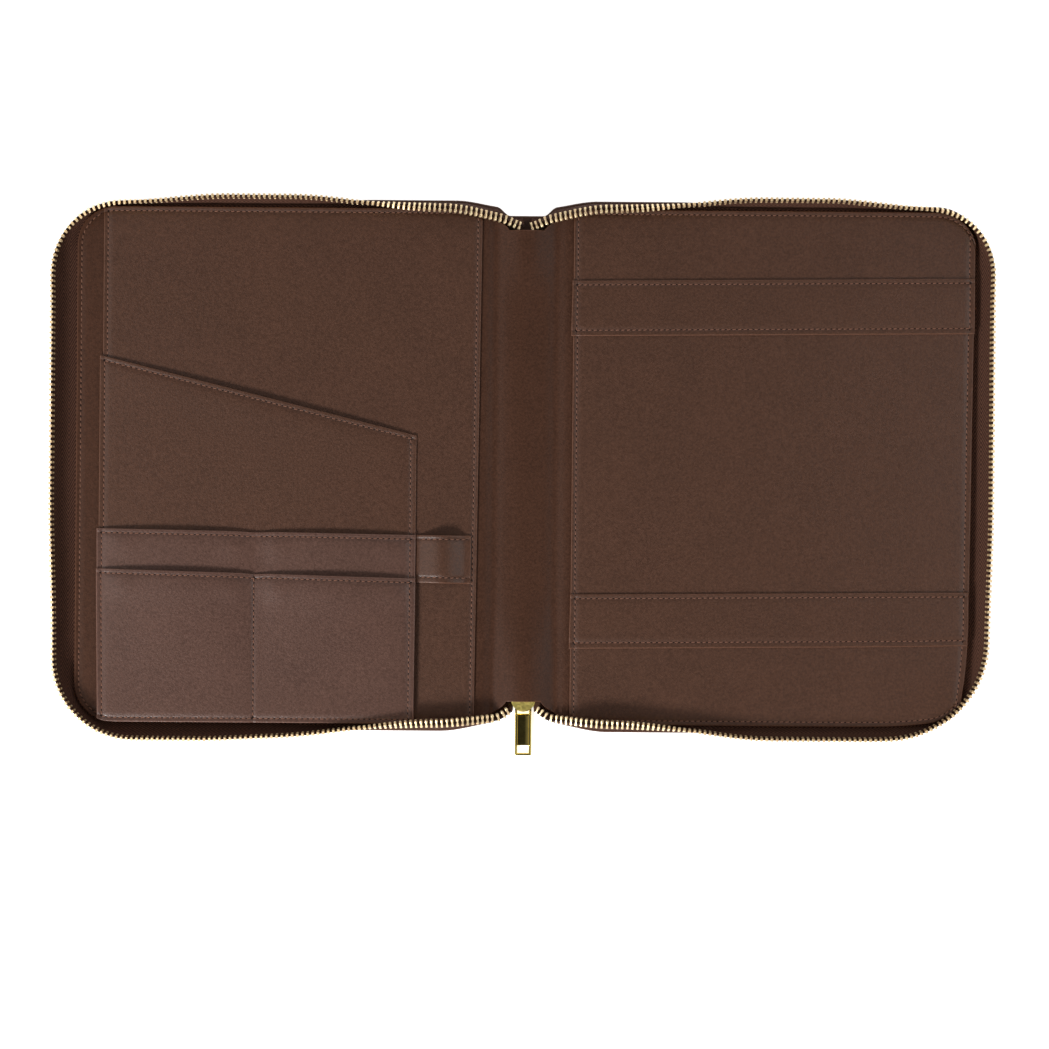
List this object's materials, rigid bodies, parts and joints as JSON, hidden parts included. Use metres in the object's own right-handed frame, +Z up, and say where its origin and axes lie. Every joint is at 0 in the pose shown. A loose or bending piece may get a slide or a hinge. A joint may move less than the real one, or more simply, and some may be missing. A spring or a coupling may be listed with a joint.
{
  "type": "zip-around portfolio case",
  "caption": "Portfolio case lying open, with padded covers, document, card and pen pockets, a banded pad sleeve and a metal zip round three edges.",
  "frame": {"origin": "middle of the spine's underside, on the surface that the open case lies on", "axes": "+X from the front cover across the spine to the back cover, +Y along the spine away from the slider, +Z up out of the open inside"},
  "size_m": [0.565, 0.3372, 0.0171],
  "materials": {
    "outer_leather": "smooth leather-look, satin",
    "lining_leather": "smooth leather-look, satin",
    "pocket_leather": "smooth leather-look, satin",
    "card_leather": "smooth leather-look, soft sheen",
    "greyboard": "raw pressed paper board",
    "foam": "soft open foam",
    "woven_tape": "tight herringbone weave",
    "tooth_brass": "bright metal",
    "polished_gold": "polished plate"
  },
  "bodies": {
    "front_cover": {"front_outer_leather": "outer_leather", "front_board": "greyboard", "front_foam": "foam", "front_lining": "lining_leather", "document_pocket": "pocket_leather", "slant_pocket": "pocket_leather", "rear_card_pocket": "card_leather", "front_card_pocket": "card_leather", "pen_loop": "pocket_leather", "front_zip_tape": "woven_tape", "front_zip_cord": "woven_tape", "front_zip_teeth": "tooth_brass"},
    "back_cover": {"back_outer_leather": "outer_leather", "back_board": "greyboard", "back_foam": "foam", "back_lining": "lining_leather", "notepad_sleeve": "pocket_leather", "upper_band": "pocket_leather", "lower_band": "pocket_leather", "back_zip_tape": "woven_tape", "back_zip_cord": "woven_tape", "back_zip_teeth": "tooth_brass"},
    "spine": {"spine_outer_leather": "outer_leather", "spine_stiffener": "greyboard", "spine_lining": "lining_leather", "top_tape_ends": "woven_tape", "top_end_teeth": "tooth_brass", "top_stops": "tooth_brass", "bottom_tape_ends": "woven_tape", "bottom_end_teeth": "tooth_brass", "chain_tail_tape": "woven_tape", "chain_tail_teeth": "tooth_brass", "bottom_stop": "tooth_brass"},
    "slider": {"slider_body": "polished_gold", "slider_bridge": "polished_gold"},
    "pull": {"pull_tab": "polished_gold"}
  },
  "joints": [
    {"name": "spine_fold", "type": "hinge", "parent": "back_cover", "child": "spine", "pos_m": [0.0145, 0, 0.0012], "axis": [0, 1, 0], "range_deg": [0, 90]},
    {"name": "cover_fold", "type": "hinge", "parent": "spine", "child": "front_cover", "pos_m": [-0.0145, 0, 0.0012], "axis": [0, 1, 0], "range_deg": [0, 90]},
    {"name": "slider_travel", "type": "slide", "parent": "spine", "child": "slider", "axis": [0, -1, 0], "range_m": [0, 0.009]},
    {"name": "pull_swing", "type": "hinge", "parent": "slider", "child": "pull", "pos_m": [0, -0.1436, 0.00205], "axis": [1, 0, 0], "range_deg": [0, 145]}
  ]
}
